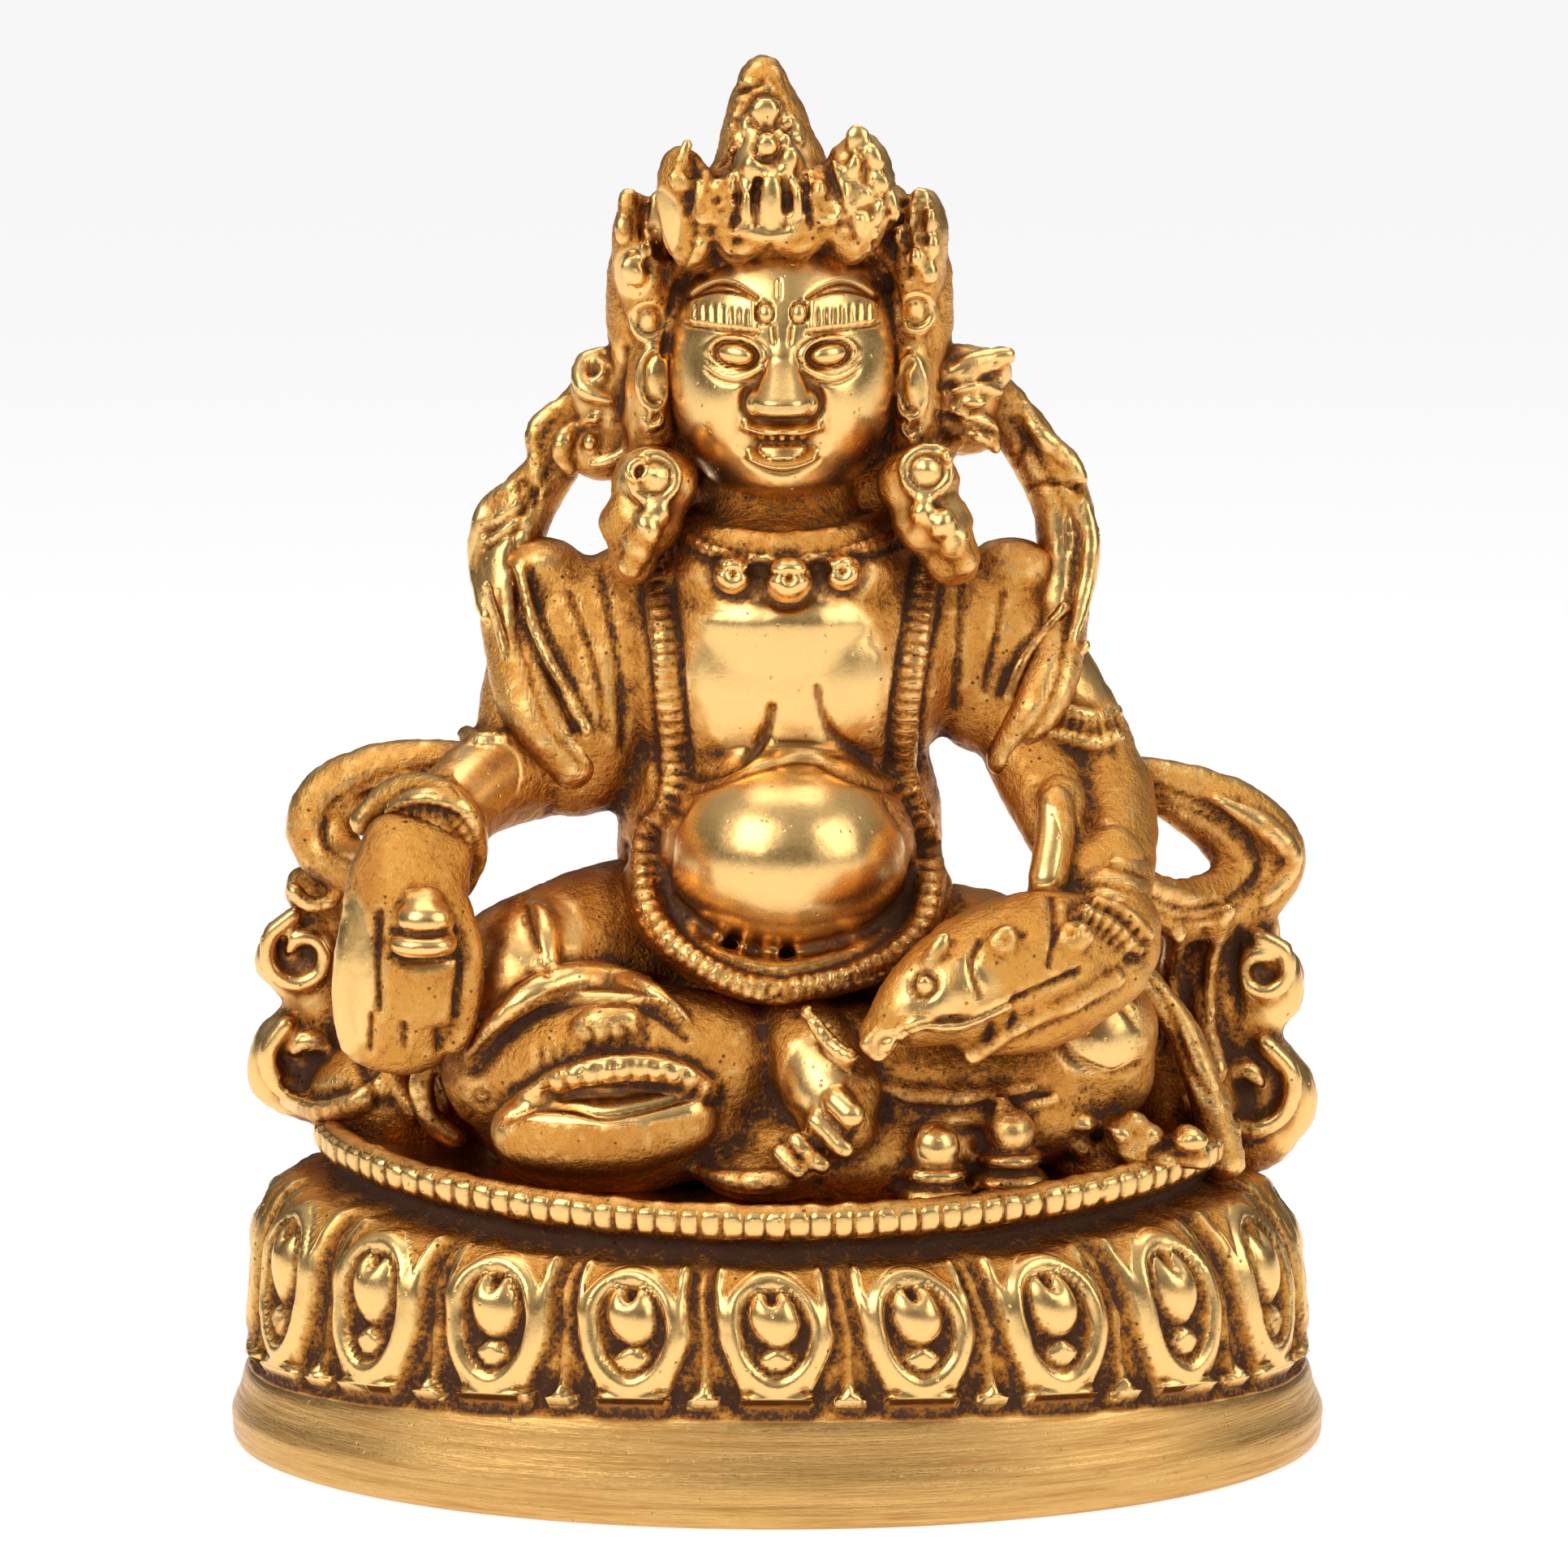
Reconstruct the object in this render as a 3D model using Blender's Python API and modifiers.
"""A seated Kubera, cast in brass in one piece with its lotus base.

Metres, +Z up. The figure faces -Y, and the origin is the middle of the underside.
Sizes are written in millimetres and turned into metres where a shape is placed.
"""

import math

import bmesh
import bpy
from mathutils import Euler, Matrix, Vector

MM = 0.001

# Lotus base, from the foot band up to the beaded rim round the seat
BASE_WIDTH = 112.0
BASE_DEPTH = 72.0
BAND_HEIGHT = 9.5
BAND_FRONT_LIFT = 1.5
BAND_NOSE = 1.6
LOTUS_HEIGHT = 17.0
LOTUS_WIDTH = 109.0
RIM_HEIGHT = 4.0
RIM_WIDTH = 93.0
RIM_THICKNESS = 3.4
RIM_SIDE_RISE = 3.0
SEAT_SINK = 1.2
PETAL_COUNT = 20
PETAL_WIDTH = 11.8
PETAL_LENGTH = 14.5
PETAL_RISE = 2.8
PETAL_RELIEF = 1.9

# Figure, from the seat to the tip of the crown
FIGURE_HEIGHT = 111.0

# Casting: how finely the joined form is cut into facets
SKIN_CELL = 0.75
SKIN_PASSES = 3
FACETS = 9400

LOTUS_FOOT = BAND_HEIGHT
RIM_FOOT = BAND_HEIGHT + LOTUS_HEIGHT
RIM_TOP = RIM_FOOT + RIM_HEIGHT
SEAT = RIM_TOP - SEAT_SINK
DEPTH_SHARE = BASE_DEPTH / BASE_WIDTH

# The figure's places below are read on a pattern of this height whose seat is at this level
PATTERN_HEIGHT = 111.0
PATTERN_SEAT = 29.0


def fig(x, y, z):
    """A point of the figure: x right, y back and z up on the pattern, as a share of the height."""
    share = FIGURE_HEIGHT / PATTERN_HEIGHT
    return Vector((x * share, y * share, SEAT + (z - PATTERN_SEAT) * share)) * MM


def fig_length(length):
    """A length of the figure, as a share of its height."""
    return length * FIGURE_HEIGHT / PATTERN_HEIGHT * MM


def clear_scene():
    for obj in list(bpy.data.objects):
        bpy.data.objects.remove(obj, do_unlink=True)


def add_ball(form, centre, radii, turn=(0, 0, 0), segments=16):
    """An ellipsoid of the figure: its centre, three radii and its turn in degrees."""
    angles = Euler([math.radians(angle) for angle in turn])
    size = Matrix.Diagonal([fig_length(radius) for radius in radii] + [1])
    place = Matrix.Translation(fig(*centre)) @ angles.to_matrix().to_4x4() @ size
    bmesh.ops.create_uvsphere(
        form, u_segments=segments, v_segments=segments // 2 + 2, radius=1, matrix=place
    )


def add_cone(form, foot, top, foot_radius, top_radius, segments=14):
    """A cone or drum of the figure between two points."""
    low, high = fig(*foot), fig(*top)
    axis = high - low
    turn = axis.to_track_quat("Z", "Y").to_matrix().to_4x4()
    bmesh.ops.create_cone(
        form,
        cap_ends=True,
        segments=segments,
        radius1=fig_length(foot_radius),
        radius2=fig_length(top_radius),
        depth=axis.length,
        matrix=Matrix.Translation((low + high) / 2) @ turn,
    )


def add_curve_mesh(form, curve):
    """Adds what a curve draws to the form, its caps welded to its sides."""
    holder = bpy.data.objects.new("curve_holder", curve)
    bpy.context.scene.collection.objects.link(holder)
    graph = bpy.context.evaluated_depsgraph_get()
    mesh = bpy.data.meshes.new_from_object(holder.evaluated_get(graph))
    bpy.data.objects.remove(holder)
    piece = bmesh.new()
    piece.from_mesh(mesh)
    bmesh.ops.remove_doubles(piece, verts=piece.verts, dist=1e-6)
    bmesh.ops.recalc_face_normals(piece, faces=piece.faces)
    piece.to_mesh(mesh)
    piece.free()
    form.from_mesh(mesh)
    bpy.data.meshes.remove(mesh)


def add_limb(form, points, radii, flat=1.0):
    """A limb or a band of cloth: a round or flattened section carried along a smooth path.

    flat is the section's thickness over its width.
    """
    section = bpy.data.curves.new("section", "CURVE")
    section.dimensions = "2D"
    ring = section.splines.new("POLY")
    ring.points.add(9)
    for index, point in enumerate(ring.points):
        angle = 2 * math.pi * index / len(ring.points)
        point.co = (math.cos(angle), math.sin(angle) * flat, 0, 1)
    ring.use_cyclic_u = True
    section_holder = bpy.data.objects.new("section_holder", section)
    bpy.context.scene.collection.objects.link(section_holder)

    curve = bpy.data.curves.new("limb", "CURVE")
    curve.dimensions = "3D"
    curve.twist_mode = "Z_UP"
    curve.resolution_u = 4
    path = curve.splines.new("BEZIER")
    path.bezier_points.add(len(points) - 1)
    for knot, place, radius in zip(path.bezier_points, points, radii):
        knot.co = fig(*place)
        knot.handle_left_type = knot.handle_right_type = "AUTO"
        knot.radius = fig_length(radius)
    curve.bevel_mode = "OBJECT"
    curve.bevel_object = section_holder
    curve.use_fill_caps = True
    add_curve_mesh(form, curve)
    bpy.data.objects.remove(section_holder)


def add_slab(form, outline, back, thickness, edge=0.8):
    """A flat ornament standing upright: an outline in x and z, rounded at its edges."""
    curve = bpy.data.curves.new("slab", "CURVE")
    curve.dimensions = "2D"
    curve.fill_mode = "BOTH"
    curve.resolution_u = 3
    curve.extrude = fig_length(thickness / 2 - edge)
    curve.bevel_depth = fig_length(edge)
    curve.offset = -fig_length(edge)
    curve.bevel_resolution = 1
    path = curve.splines.new("BEZIER")
    path.bezier_points.add(len(outline) - 1)
    for knot, (x, z) in zip(path.bezier_points, outline):
        place = fig(x, 0, z)
        knot.co = (place.x, place.z, 0)
        knot.handle_left_type = knot.handle_right_type = "AUTO"
    path.use_cyclic_u = True
    flat = bmesh.new()
    add_curve_mesh(flat, curve)
    upright = Matrix.Translation((0, fig_length(back), 0)) @ Matrix.Rotation(math.pi / 2, 4, "X")
    flat.transform(upright)
    mesh = bpy.data.meshes.new("slab")
    flat.to_mesh(mesh)
    flat.free()
    form.from_mesh(mesh)
    bpy.data.meshes.remove(mesh)


def saddle(x, y, height):
    """How far a place on the base stands over the plain turned form.

    The foot band stands higher in front and behind, the rim and the edge of its seat at the sides.
    """
    toward_side = x**2 / max(x**2 + (y / DEPTH_SHARE) ** 2, 1e-9)
    on_band = min(max(height, 0) / BAND_HEIGHT, 1)
    on_rim = min(max(height - LOTUS_FOOT, 0) / LOTUS_HEIGHT, 1)
    band_lift = BAND_FRONT_LIFT * (1 - 2 * toward_side) * on_band * (1 - on_rim)
    side_rise = RIM_SIDE_RISE * min(toward_side, (x / (RIM_WIDTH / 2)) ** 2) * on_rim
    return band_lift + side_rise


def add_base(form):
    """The turned and flattened body of the base: band, lotus tier, neck, rim and sunk seat."""
    half, rim = BASE_WIDTH / 2, RIM_WIDTH / 2
    lotus = LOTUS_WIDTH / 2 - PETAL_RELIEF
    profile = [
        (0, SEAT),
        (rim - RIM_THICKNESS, SEAT),
        (rim - RIM_THICKNESS + 0.6, RIM_TOP),
        (rim - 0.8, RIM_TOP),
        (rim, RIM_TOP - 0.25 * RIM_HEIGHT),
        (rim, RIM_FOOT + 0.3 * RIM_HEIGHT),
        (rim - 1.6, RIM_FOOT),
        (rim - 0.4, LOTUS_FOOT + 0.93 * LOTUS_HEIGHT),
        (0.55 * rim + 0.45 * lotus, LOTUS_FOOT + 0.78 * LOTUS_HEIGHT),
        (0.2 * rim + 0.8 * lotus, LOTUS_FOOT + 0.6 * LOTUS_HEIGHT),
        (lotus - 0.4, LOTUS_FOOT + 0.4 * LOTUS_HEIGHT),
        (lotus - 0.7, LOTUS_FOOT + 0.15 * LOTUS_HEIGHT),
        (lotus - 1.4, LOTUS_FOOT),
        (half - BAND_NOSE, BAND_HEIGHT - 0.8),
        (half - 0.35 * BAND_NOSE, 0.75 * BAND_HEIGHT),
        (half, 0.5 * BAND_HEIGHT),
        (half - 0.2 * BAND_NOSE, 0.3 * BAND_HEIGHT),
        (half - 0.35 * BAND_NOSE, -BAND_HEIGHT / 4),
        (0, -BAND_HEIGHT / 4),
    ]
    turned = bmesh.new()
    points = [turned.verts.new((r * MM, 0, z * MM)) for r, z in profile]
    edges = [turned.edges.new(pair) for pair in zip(points, points[1:])]
    bmesh.ops.spin(
        turned,
        geom=points + edges,
        cent=(0, 0, 0),
        axis=(0, 0, 1),
        angle=2 * math.pi,
        steps=96,
        use_merge=True,
    )
    bmesh.ops.remove_doubles(turned, verts=turned.verts, dist=1e-6)
    for vert in turned.verts:
        vert.co.y *= DEPTH_SHARE
        vert.co.z += saddle(vert.co.x / MM, vert.co.y / MM, vert.co.z / MM) * MM
    bmesh.ops.recalc_face_normals(turned, faces=turned.faces)
    mesh = bpy.data.meshes.new("base")
    turned.to_mesh(mesh)
    turned.free()
    form.from_mesh(mesh)
    bpy.data.meshes.remove(mesh)


def lotus_place(share):
    """The point of the lotus tier's girdle a share of the way round from the front, and its facing."""
    girdle_x, girdle_y = LOTUS_WIDTH / 2, LOTUS_WIDTH / 2 * DEPTH_SHARE
    steps = 720
    walk = [0.0]
    for step in range(steps):
        a, b = 2 * math.pi * step / steps, 2 * math.pi * (step + 1) / steps
        walk.append(
            walk[-1]
            + math.hypot(girdle_x * (math.sin(b) - math.sin(a)), girdle_y * (math.cos(b) - math.cos(a)))
        )
    wanted = share * walk[-1]
    step = next(index for index in range(steps) if walk[index + 1] >= wanted)
    angle = 2 * math.pi * (step + (wanted - walk[step]) / (walk[step + 1] - walk[step])) / steps
    place = Vector((girdle_x * math.sin(angle), -girdle_y * math.cos(angle)))
    outward = Vector((math.sin(angle) / girdle_x, -math.cos(angle) / girdle_y)).normalized()
    return place, outward


def add_petals(form):
    """A row of lotus petals round the tier, each a swollen drop, with a small tip between two."""
    for index in range(2 * PETAL_COUNT):
        place, outward = lotus_place(index / (2 * PETAL_COUNT))
        whole = index % 2 == 0
        length = PETAL_LENGTH if whole else 0.4 * PETAL_LENGTH
        width = PETAL_WIDTH if whole else 0.35 * PETAL_WIDTH
        rise = PETAL_RISE if whole else 0.6 * PETAL_RISE
        height = LOTUS_FOOT + 0.4 + length / 2
        height += saddle(place.x, place.y, height)
        lean = math.radians(20 if whole else 5)
        inset = PETAL_RISE if whole else PETAL_RELIEF
        centre = Vector((place.x, place.y, height)) - Vector((*outward, 0)) * inset
        turn = Matrix.Rotation(math.atan2(outward.y, outward.x), 4, "Z")
        turn @= Matrix.Rotation(-lean, 4, "Y")
        size = Matrix.Diagonal((rise * MM, width / 2 * MM, length / 2 * MM, 1))
        bmesh.ops.create_uvsphere(
            form,
            u_segments=12,
            v_segments=8,
            radius=1,
            matrix=Matrix.Translation(centre * MM) @ turn @ size,
        )


def add_offerings(form):
    """Two little stacks of jewels on the seat, a rough heap, and the cloth under the feet."""
    for x, y, foot in ((15.6, -22.5, 29.0), (22.6, -19.5, 30.0)):
        for level, radius in ((1.2, 3.5), (3.4, 2.8), (5.6, 2.2)):
            add_ball(form, (x, y, foot + level), (radius, radius, 1.8), segments=12)
    add_ball(form, (33.0, -13.0, 31.5), (8.0, 4.5, 3.4), (0, -8, -25))
    add_ball(form, (8.0, -16.0, 33.0), (14.0, 8.0, 6.0))
    add_ball(form, (-1.0, -17.0, 31.5), (7.0, 9.0, 3.4))
    add_ball(form, (20.0, -12.0, 36.0), (13.0, 7.0, 6.0))


def add_seated_hips(form):
    """The hips and the lap, which carry the belly and join both thighs."""
    add_ball(form, (0.5, 4.0, 42.0), (24.0, 15.0, 15.0))
    add_ball(form, (0.5, -6.0, 38.0), (26.0, 13.0, 10.0))


def add_right_leg(form):
    """The figure's own right leg: thigh, raised knee, the hem of the cloth and the foot before it."""
    add_limb(form, [(-5, 4, 46.5), (-15, 0, 49.2), (-24.5, -7, 47.6)], [11, 9.7, 8.6])
    add_ball(form, (-24.5, -8.5, 42.0), (8.4, 10.0, 14.0), (0, -8, 10))
    add_limb(form, [(-27, -11, 40), (-17, -15.5, 42), (-6, -14.5, 42)], [6.5, 7.6, 6.8])
    add_limb(form, [(-31.5, -15, 45), (-21, -20.5, 48.6), (-11, -18.5, 47)], [1.8, 2.2, 2.0])
    add_ball(form, (-15.0, -15.5, 35.0), (13.0, 8.0, 6.5), (0, -8, 0))
    add_ball(form, (-16.3, -20.2, 38.0), (12.4, 5.2, 5.2), (0, -13, 0))


def add_left_leg(form):
    """The figure's own left leg: the knee laid out to the side and the foot that points down."""
    add_limb(form, [(5, 4, 45), (19, -1, 46), (30, -7, 44)], [11, 9.8, 7.8])
    add_ball(form, (31.0, -9.0, 43.5), (7.0, 8.0, 7.4))
    add_limb(form, [(31, -9, 40), (18, -13, 40), (6, -14, 42)], [6.8, 6.5, 6])
    add_limb(
        form,
        [(0.6, -12, 48), (3.0, -17.5, 44.5), (4.9, -21.5, 40), (5.4, -23, 36.5)],
        [4.6, 5.0, 5.2, 4.2],
    )
    for toe in range(5):
        share = toe / 4
        centre = (0.4 + 8.2 * share, -25.6 + 1.4 * share, 34.2 + 4.2 * share)
        add_ball(form, centre, (1.6 + 0.3 * share, 2.0, 2.6 + 0.3 * share), (0, 35, 0), segments=10)


def add_torso(form):
    """Back, belly, chest, shoulders and the short broad neck."""
    add_ball(form, (0.2, 3.0, 62.0), (16.7, 13.0, 20.0))
    add_ball(form, (1.3, -5.0, 61.3), (13.8, 15.4, 11.6))
    add_ball(form, (1.0, 1.5, 79.0), (18.0, 12.6, 14.0))
    shoulders = [(-20, 4.5, 81.5), (-9, 3.5, 85.5), (1, 3, 87), (11, 3.5, 85.5), (21, 4.5, 81.5)]
    add_limb(form, shoulders, [7, 7.4, 7.8, 7.4, 7])
    add_limb(form, [(-15.5, 3, 80), (-19, 2, 73)], [7.4, 7])
    add_ball(form, (-21.0, 1.5, 72.5), (7.0, 6.0, 6.4))
    add_ball(form, (0.6, -1.5, 89.0), (12.5, 9.5, 6.5))
    add_limb(form, [(17, 3, 80), (20.5, 2, 76.5)], [7, 4.6])
    add_cone(form, (0.6, 2.5, 84.0), (0.5, 1.5, 99.0), 14.5, 8.4)


def add_coat_edge(form):
    """The ribbed border of the open coat, round the chest and the belly, and the bead collar."""
    left = [
        (-12.2, -8.2, 91),
        (-11, -10, 80),
        (-10.4, -10.8, 72),
        (-12.8, -12.5, 65),
        (-12.6, -13.5, 58),
        (-8, -15, 52.2),
        (1.5, -17.2, 50.2),
    ]
    right = [
        (14.8, -8.2, 91),
        (13.6, -10, 80),
        (12.2, -10.8, 72),
        (15, -12.5, 65),
        (15.4, -13.5, 59.5),
        (11.6, -15, 53),
        (1.5, -17.2, 50.2),
    ]
    for edge in (left, right):
        add_limb(form, edge, [1.7] * len(edge))
    collar = [(-10, -5, 95.5), (-6, -9.5, 92.4), (1, -11.6, 90.6), (8, -9.5, 92.4), (12, -5, 95.5)]
    add_limb(form, collar, [1.4] * len(collar))
    for x, radius in ((-4.3, 1.9), (1.2, 2.4), (6.6, 1.9)):
        add_ball(form, (x, -11.8, 89.4), (radius, 1.9, radius), segments=10)


def add_right_arm(form):
    """The figure's own right arm, reaching forward over the knee with a fruit in the open hand."""
    add_limb(form, [(-20, 4.5, 82), (-24.5, 3.5, 77), (-25.5, 2, 69.5)], [7.2, 6.8, 6])
    add_limb(form, [(-25.5, 2, 70), (-30, -5, 68.3), (-34, -12, 64.5)], [5.8, 4.8, 4.4])
    add_limb(form, [(-31.8, -8.5, 66.8), (-33.2, -10.8, 65.4)], [6, 5.8])
    palm = [(-35, -13.5, 63.5), (-36.3, -16, 58.5), (-36.6, -17, 50.5), (-37.8, -16.5, 43)]
    add_limb(form, palm, [5.6, 6.4, 6.6, 5.8], flat=0.5)
    add_ball(form, (-34.4, -19.2, 54.5), (3.8, 3.6, 5.4))


def add_left_arm(form):
    """The figure's own left arm, bent forward, its hand closed on the mongoose's neck."""
    add_limb(form, [(21, 4.5, 82), (27, 3.5, 77.5), (31.2, 2, 71.5), (33, 0, 65.5)], [7.4, 6.8, 5.8, 5.2])
    add_limb(form, [(33, 0.5, 66), (33.2, -7, 62), (32.4, -14.5, 57)], [5.2, 4.6, 4.4])
    add_limb(form, [(25, 1, 73.4), (28, -3, 68.8)], [5, 4.7])
    add_limb(form, [(27.6, -9.5, 67), (27, -11.5, 62.5), (26.2, -15, 57)], [2.6, 2.6, 2.8])
    add_limb(form, [(25, -13.5, 58.5), (29, -12.5, 60), (33, -11, 61.5)], [2.8, 3.4, 3.4])
    add_ball(form, (33.0, -15.0, 55.0), (4.8, 4.6, 4.8))


def add_mongoose(form):
    """The jewel-spitting mongoose held on the left knee, nose down towards the middle."""
    spine = [(9.6, -26, 46.8), (13, -25, 49), (18.5, -22.5, 51.4), (25.5, -19.5, 53), (33, -15.5, 53.5)]
    add_limb(form, spine, [1.8, 4.2, 6.2, 6.8, 4.8])
    add_limb(form, [(19, -24.2, 45.9), (26, -21.8, 47.6), (33, -17.8, 51.5)], [1.8, 3.2, 3.6])


def add_scarves(form):
    """The stiff floating scarf: a bow behind each shoulder, a loop past each forearm and a tail."""
    right_bow = [
        (-13, 7, 106),
        (-18, 7, 106.2),
        (-22.0, 7, 102.5),
        (-25.2, 6, 96.5),
        (-27.5, 5, 89),
        (-26.7, 3, 81),
        (-24.4, -2, 74),
        (-21, -2.5, 70),
    ]
    left_bow = [
        (15, 7, 106),
        (20.2, 7, 106),
        (24.0, 7, 102.8),
        (27.7, 6, 97),
        (29.2, 5, 89.5),
        (28.9, 3, 82),
        (27, -2, 76.5),
        (23, -2.8, 70),
    ]
    right_loop = [
        (-26, 3, 68.6),
        (-33, 4, 68.8),
        (-40, 5, 67.6),
        (-45.4, 5, 64.4),
        (-46.2, 4, 60.6),
        (-43, 1, 58.6),
        (-38.5, -6, 60.5),
    ]
    left_loop = [
        (33, 3, 67),
        (39.2, 5, 65.8),
        (45.4, 6, 62.6),
        (48.8, 6, 58.4),
        (46.4, 4, 54.8),
        (40.5, -2, 54.6),
        (34.5, -9, 58.5),
    ]
    for path in (right_bow, left_bow):
        add_limb(form, path, [2.7, 3.0, 2.7, 2.7, 2.8, 3.0, 3.0, 2.0])
    add_limb(form, right_loop, [2.6, 2.9, 3.5, 3.8, 3.5, 2.9, 2.5])
    add_limb(form, left_loop, [2.6, 3.2, 4.3, 5.0, 4.1, 3.3, 2.6])
    tail = [(33.5, -9, 51.5), (36.5, -7.5, 48), (40.5, -6, 43), (43.2, -7, 36), (44.8, -7, 29.5)]
    add_limb(form, tail, [2, 1.9, 1.8, 1.9, 2.4])


def add_side_scrolls(form):
    """The curled ends of the scarf that stand on the base at both sides, behind the knees."""
    right_outline = [
        (-30, 30),
        (-30, 44),
        (-36, 57),
        (-45, 59),
        (-49.4, 55.5),
        (-48.2, 52.8),
        (-52, 49.5),
        (-53.2, 45.5),
        (-50.6, 41.5),
        (-53.6, 38),
        (-54.2, 34.2),
        (-52.2, 31.8),
        (-47.5, 27.5),
        (-40, 26),
    ]
    left_outline = [
        (32, 30),
        (33, 42),
        (39, 52),
        (46, 56),
        (50.5, 53.5),
        (50.8, 50),
        (53.2, 48.5),
        (53.2, 43.5),
        (51.6, 39.8),
        (53.8, 36.5),
        (54.6, 31.5),
        (52.6, 28.8),
        (48, 25.5),
        (40, 26),
    ]
    for outline in (right_outline, left_outline):
        add_slab(form, outline, 8.5, 7.0, edge=1.8)
    curls = [
        ((-44.6, 5.0, 52.0), (5.6, 2.6, 5.6)),
        ((-45.0, 5.0, 39.5), (6.4, 2.8, 6.0)),
        ((46.8, 5.0, 50.0), (4.8, 2.6, 5.0)),
        ((45.4, 5.0, 36.5), (6.6, 2.8, 6.4)),
    ]
    for centre, radii in curls:
        add_ball(form, centre, radii, segments=12)
    add_ball(form, (-38.0, 2.0, 34.0), (10.0, 8.0, 7.0))
    add_ball(form, (-36.0, 2.0, 42.0), (8.0, 7.0, 9.0))
    add_ball(form, (40.0, 3.0, 34.0), (7.0, 7.0, 7.0))


def add_head(form):
    """Face, nose, brows and eyes."""
    add_ball(form, (0.5, 0.0, 109.5), (11.8, 11.6, 12.8), segments=20)
    add_ball(form, (0.5, -1.8, 103.4), (10.3, 10.2, 8.1), segments=20)
    add_limb(form, [(0.5, -10.0, 112), (0.5, -11.6, 107.2)], [1.2, 2.2])
    add_ball(form, (0.5, -9.6, 102.2), (3.6, 1.8, 2.2), segments=12)
    for side in (-1, 1):
        add_ball(form, (0.5 + side * 4.6, -9.8, 111.0), (2.4, 1.9, 1.4), segments=10)
        add_limb(form, [(0.5 + side * 1.6, -11, 113.6), (0.5 + side * 8, -9, 115)], [1.2, 1.0])


def add_hair_and_ears(form):
    """The hair and ribbons that frame the face, round ear studs, long lobes and the ribbon knots."""
    add_ball(form, (0.2, 4.5, 112.5), (16.4, 9.0, 12.5), segments=20)
    for side in (-1, 1):
        add_ball(form, (0.5 + side * 13.0, 0.5, 106.0), (3.0, 3.4, 9.5))
        add_cone(form, (0.5 + side * 13.2, 1.0, 114.0), (0.5 + side * 13.2, -5.0, 114.0), 2.7, 2.4)
        add_ball(form, (0.3 + side * 14.3, 2.5, 115.0), (3.0, 4.0, 9.0))
        add_ball(form, (0.5 + side * 17.2, 5.0, 106.5), (4.6, 4.4, 6.0), (0, side * 20, 0))
        add_ball(form, (0.4 + side * 10.4, 3.5, 100.5), (3.4, 4.0, 5.0))


def add_crown(form):
    """The crown: a band across the hair, five jewelled leaves and the cone of hair behind them."""
    add_ball(form, (0.4, 1.0, 120.5), (14.6, 11.8, 5.8), segments=20)
    cone = [(-0.6, 2.5, 120), (-0.7, 3.0, 128), (-1.1, 3.8, 134.5), (-1.4, 4.0, 138.0)]
    add_limb(form, cone, [11, 6.2, 4.2, 2.8])
    add_ball(form, (-1.4, 4.0, 137.4), (2.8, 2.8, 2.5), segments=12)
    leaves = [
        ((-0.7, -10.0, 121.8), (5.4, 2.8, 5.2), 0),
        ((-0.8, -8.0, 127.0), (4.4, 3.2, 4.6), 0),
        ((-0.9, -5.6, 132.0), (2.9, 2.8, 4.2), 0),
        ((-8.8, -6.6, 124.6), (3.4, 3.4, 6.8), 8),
        ((8.6, -6.6, 125.4), (4.0, 3.4, 7.0), -8),
        ((-13.9, -0.5, 119.2), (3.1, 4.0, 7.2), 6),
        ((14.2, -0.5, 119.6), (3.2, 4.0, 7.2), -6),
    ]
    for centre, radii, lean in leaves:
        add_ball(form, centre, radii, (0, -lean, 0), segments=12)


def add_shoulder_jewels(form):
    """The heavy ear pendants that lie on both shoulders: a ring, a cluster and a drop."""
    for x, side in ((-11.6, -1), (13.8, 1)):
        add_ball(form, (x, -5.0, 97.8), (4.4, 4.0, 3.8))
        add_ball(form, (x + side * 1.3, -6.0, 94.0), (4.2, 3.8, 3.2))
        add_ball(form, (x + side * 2.6, -6.0, 90.8), (2.7, 3.2, 3.2))


def joined_form():
    """Every form of the statue in one mesh, still as separate closed shells."""
    form = bmesh.new()
    for add in (
        add_base,
        add_petals,
        add_offerings,
        add_seated_hips,
        add_right_leg,
        add_left_leg,
        add_torso,
        add_coat_edge,
        add_right_arm,
        add_left_arm,
        add_mongoose,
        add_scarves,
        add_side_scrolls,
        add_head,
        add_hair_and_ears,
        add_crown,
        add_shoulder_jewels,
    ):
        add(form)
    mesh = bpy.data.meshes.new("wax_forms")
    form.to_mesh(mesh)
    form.free()
    return mesh


def evaluated_mesh(obj):
    graph = bpy.context.evaluated_depsgraph_get()
    return bpy.data.meshes.new_from_object(obj.evaluated_get(graph))


def add_underside_cutter(collection):
    """A block below the floor that trims the foot of the base flat."""
    cutter_mesh = bpy.data.meshes.new("underside_cutter")
    block = bmesh.new()
    bmesh.ops.create_cube(block, size=1)
    bmesh.ops.scale(block, verts=block.verts, vec=(2 * BASE_WIDTH * MM, 2 * BASE_WIDTH * MM, BAND_HEIGHT * MM))
    bmesh.ops.translate(block, verts=block.verts, vec=(0, 0, -BAND_HEIGHT / 2 * MM))
    block.to_mesh(cutter_mesh)
    block.free()
    cutter = bpy.data.objects.new("underside_cutter", cutter_mesh)
    cutter.hide_render = True
    cutter.display_type = "WIRE"
    collection.objects.link(cutter)
    return cutter


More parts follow.
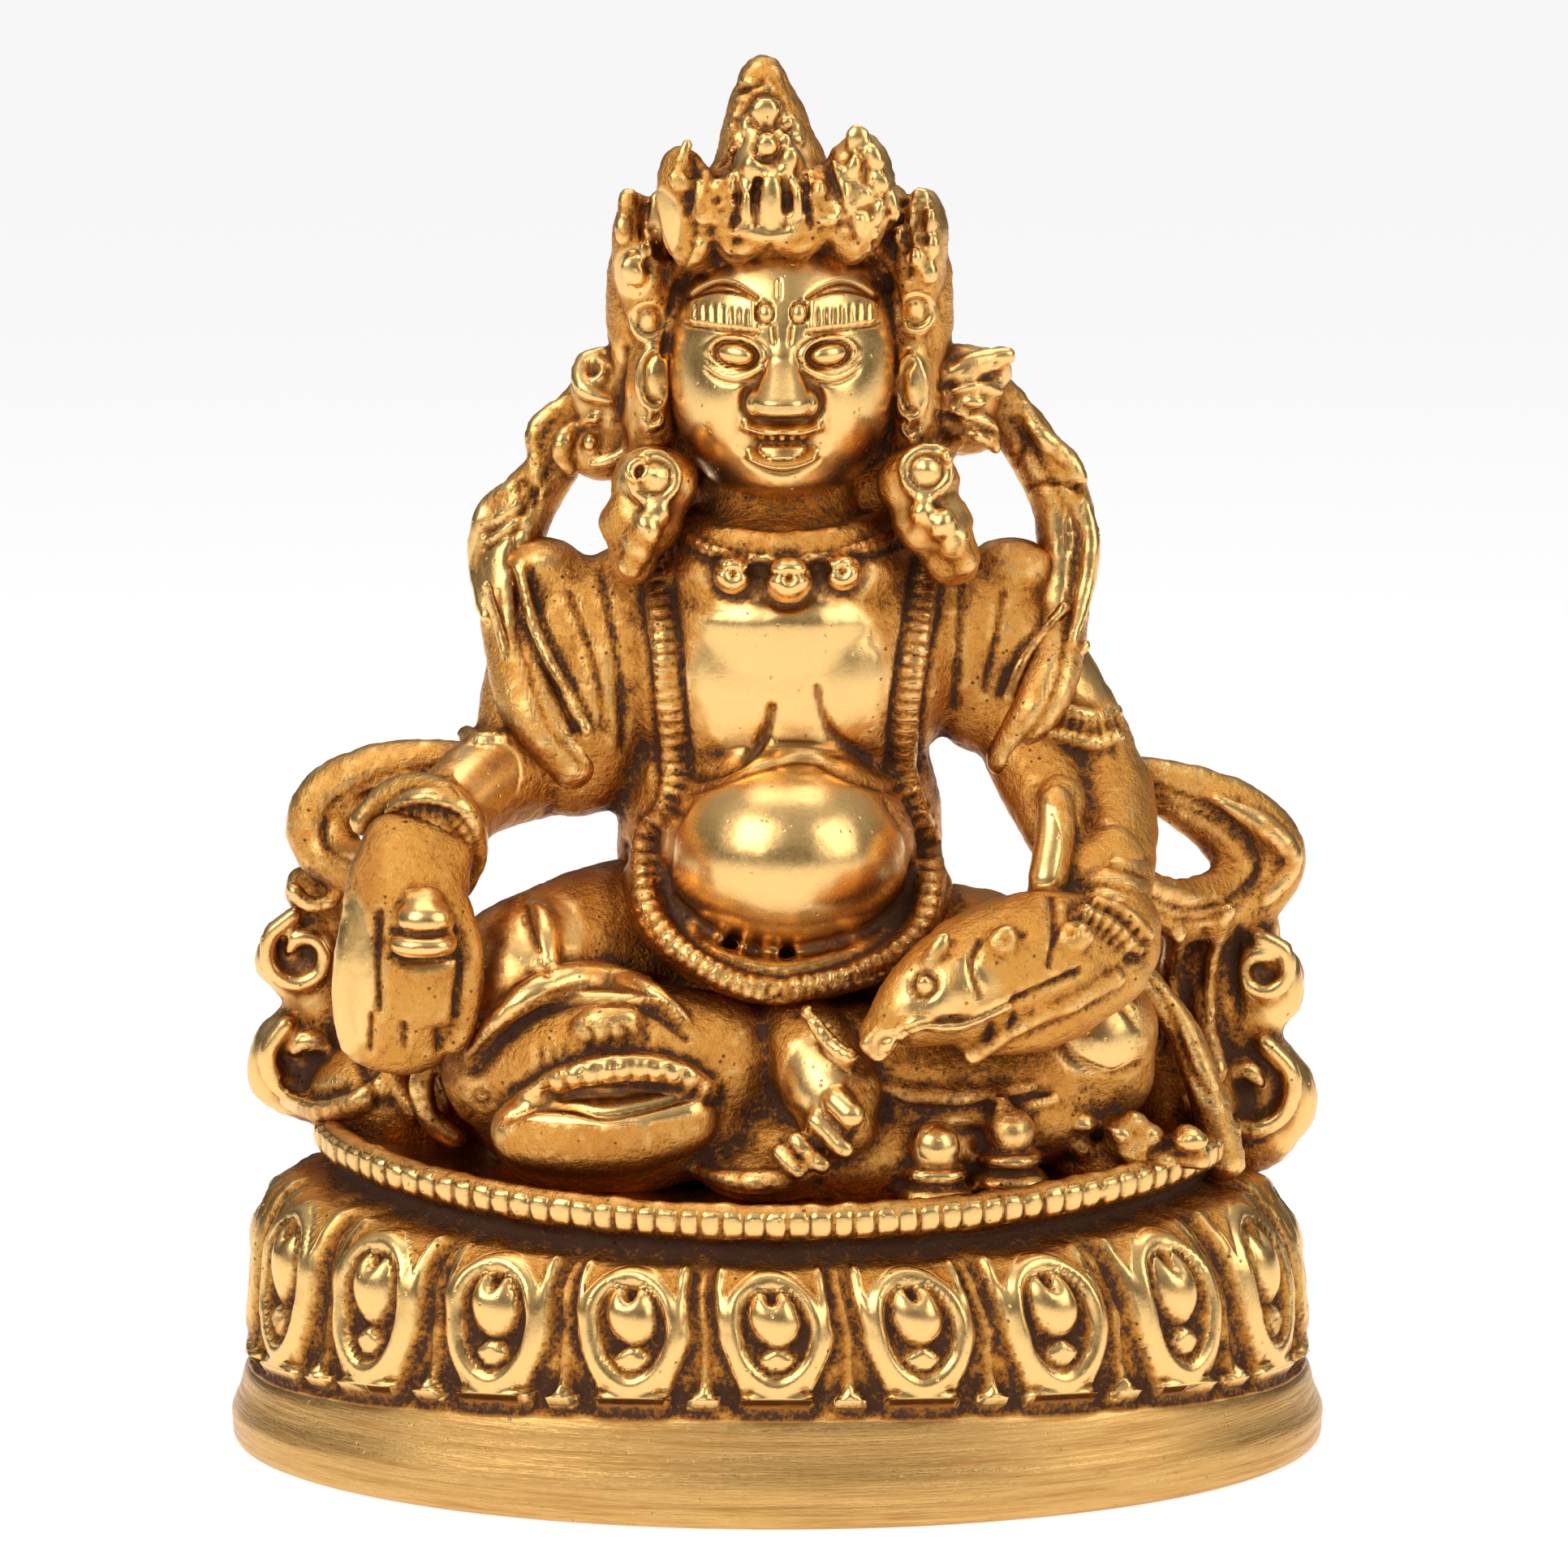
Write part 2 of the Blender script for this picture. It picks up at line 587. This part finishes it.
def brass():
    material = bpy.data.materials.new("antique_brass")
    material.use_nodes = True
    shader = material.node_tree.nodes["Principled BSDF"]
    shader.inputs["Base Color"].default_value = (0.72, 0.42, 0.13, 1)
    shader.inputs["Metallic"].default_value = 1.0
    shader.inputs["Roughness"].default_value = 0.3
    return material


def islands(form):
    """The separate shells of a mesh, each as a list of its faces."""
    waiting = set(form.faces)
    shells = []
    while waiting:
        shell = [waiting.pop()]
        for face in shell:
            for edge in face.edges:
                for neighbour in edge.link_faces:
                    if neighbour in waiting:
                        waiting.remove(neighbour)
                        shell.append(neighbour)
        shells.append(shell)
    return shells


def enclosed_volume(shell):
    """The volume inside a shell, below zero where its faces point into a pocket."""
    return sum(face.calc_center_median().dot(face.normal) * face.calc_area() for face in shell) / 3


def fill_pockets(mesh):
    """Fills the pockets sealed between two forms, as metal would, with any grain left inside one.

    A pocket's wall points inward, so its volume is below zero, and a grain is under one cell.
    """
    grain = (SKIN_CELL * MM) ** 3
    form = bmesh.new()
    form.from_mesh(mesh)
    for shell in islands(form):
        if enclosed_volume(shell) < grain:
            bmesh.ops.delete(form, geom=shell, context="FACES")
    form.to_mesh(mesh)
    form.free()


def fuse(statue):
    """Joins the shells into one skin, smooths it as wax is, and thins it to the facets wanted."""
    skin = statue.modifiers.new("skin", "REMESH")
    skin.mode = "VOXEL"
    skin.voxel_size = SKIN_CELL * MM
    soften = statue.modifiers.new("soften", "SMOOTH")
    soften.factor = 0.5
    soften.iterations = SKIN_PASSES
    cast = evaluated_mesh(statue)
    statue.modifiers.clear()
    fill_pockets(cast)
    statue.data = cast
    cast.calc_loop_triangles()
    thin = statue.modifiers.new("thin", "DECIMATE")
    thin.ratio = FACETS / len(cast.loop_triangles)


def main():
    clear_scene()
    parts = bpy.data.collections.new("kubera_statue")
    cutters = bpy.data.collections.new("cutters")
    for collection in (parts, cutters):
        bpy.context.scene.collection.children.link(collection)
    statue = bpy.data.objects.new("kubera_statue", joined_form())
    parts.objects.link(statue)
    statue.data.materials.append(brass())
    fuse(statue)
    trim = statue.modifiers.new("flat_underside", "BOOLEAN")
    trim.operation = "DIFFERENCE"
    trim.object = add_underside_cutter(cutters)


main()
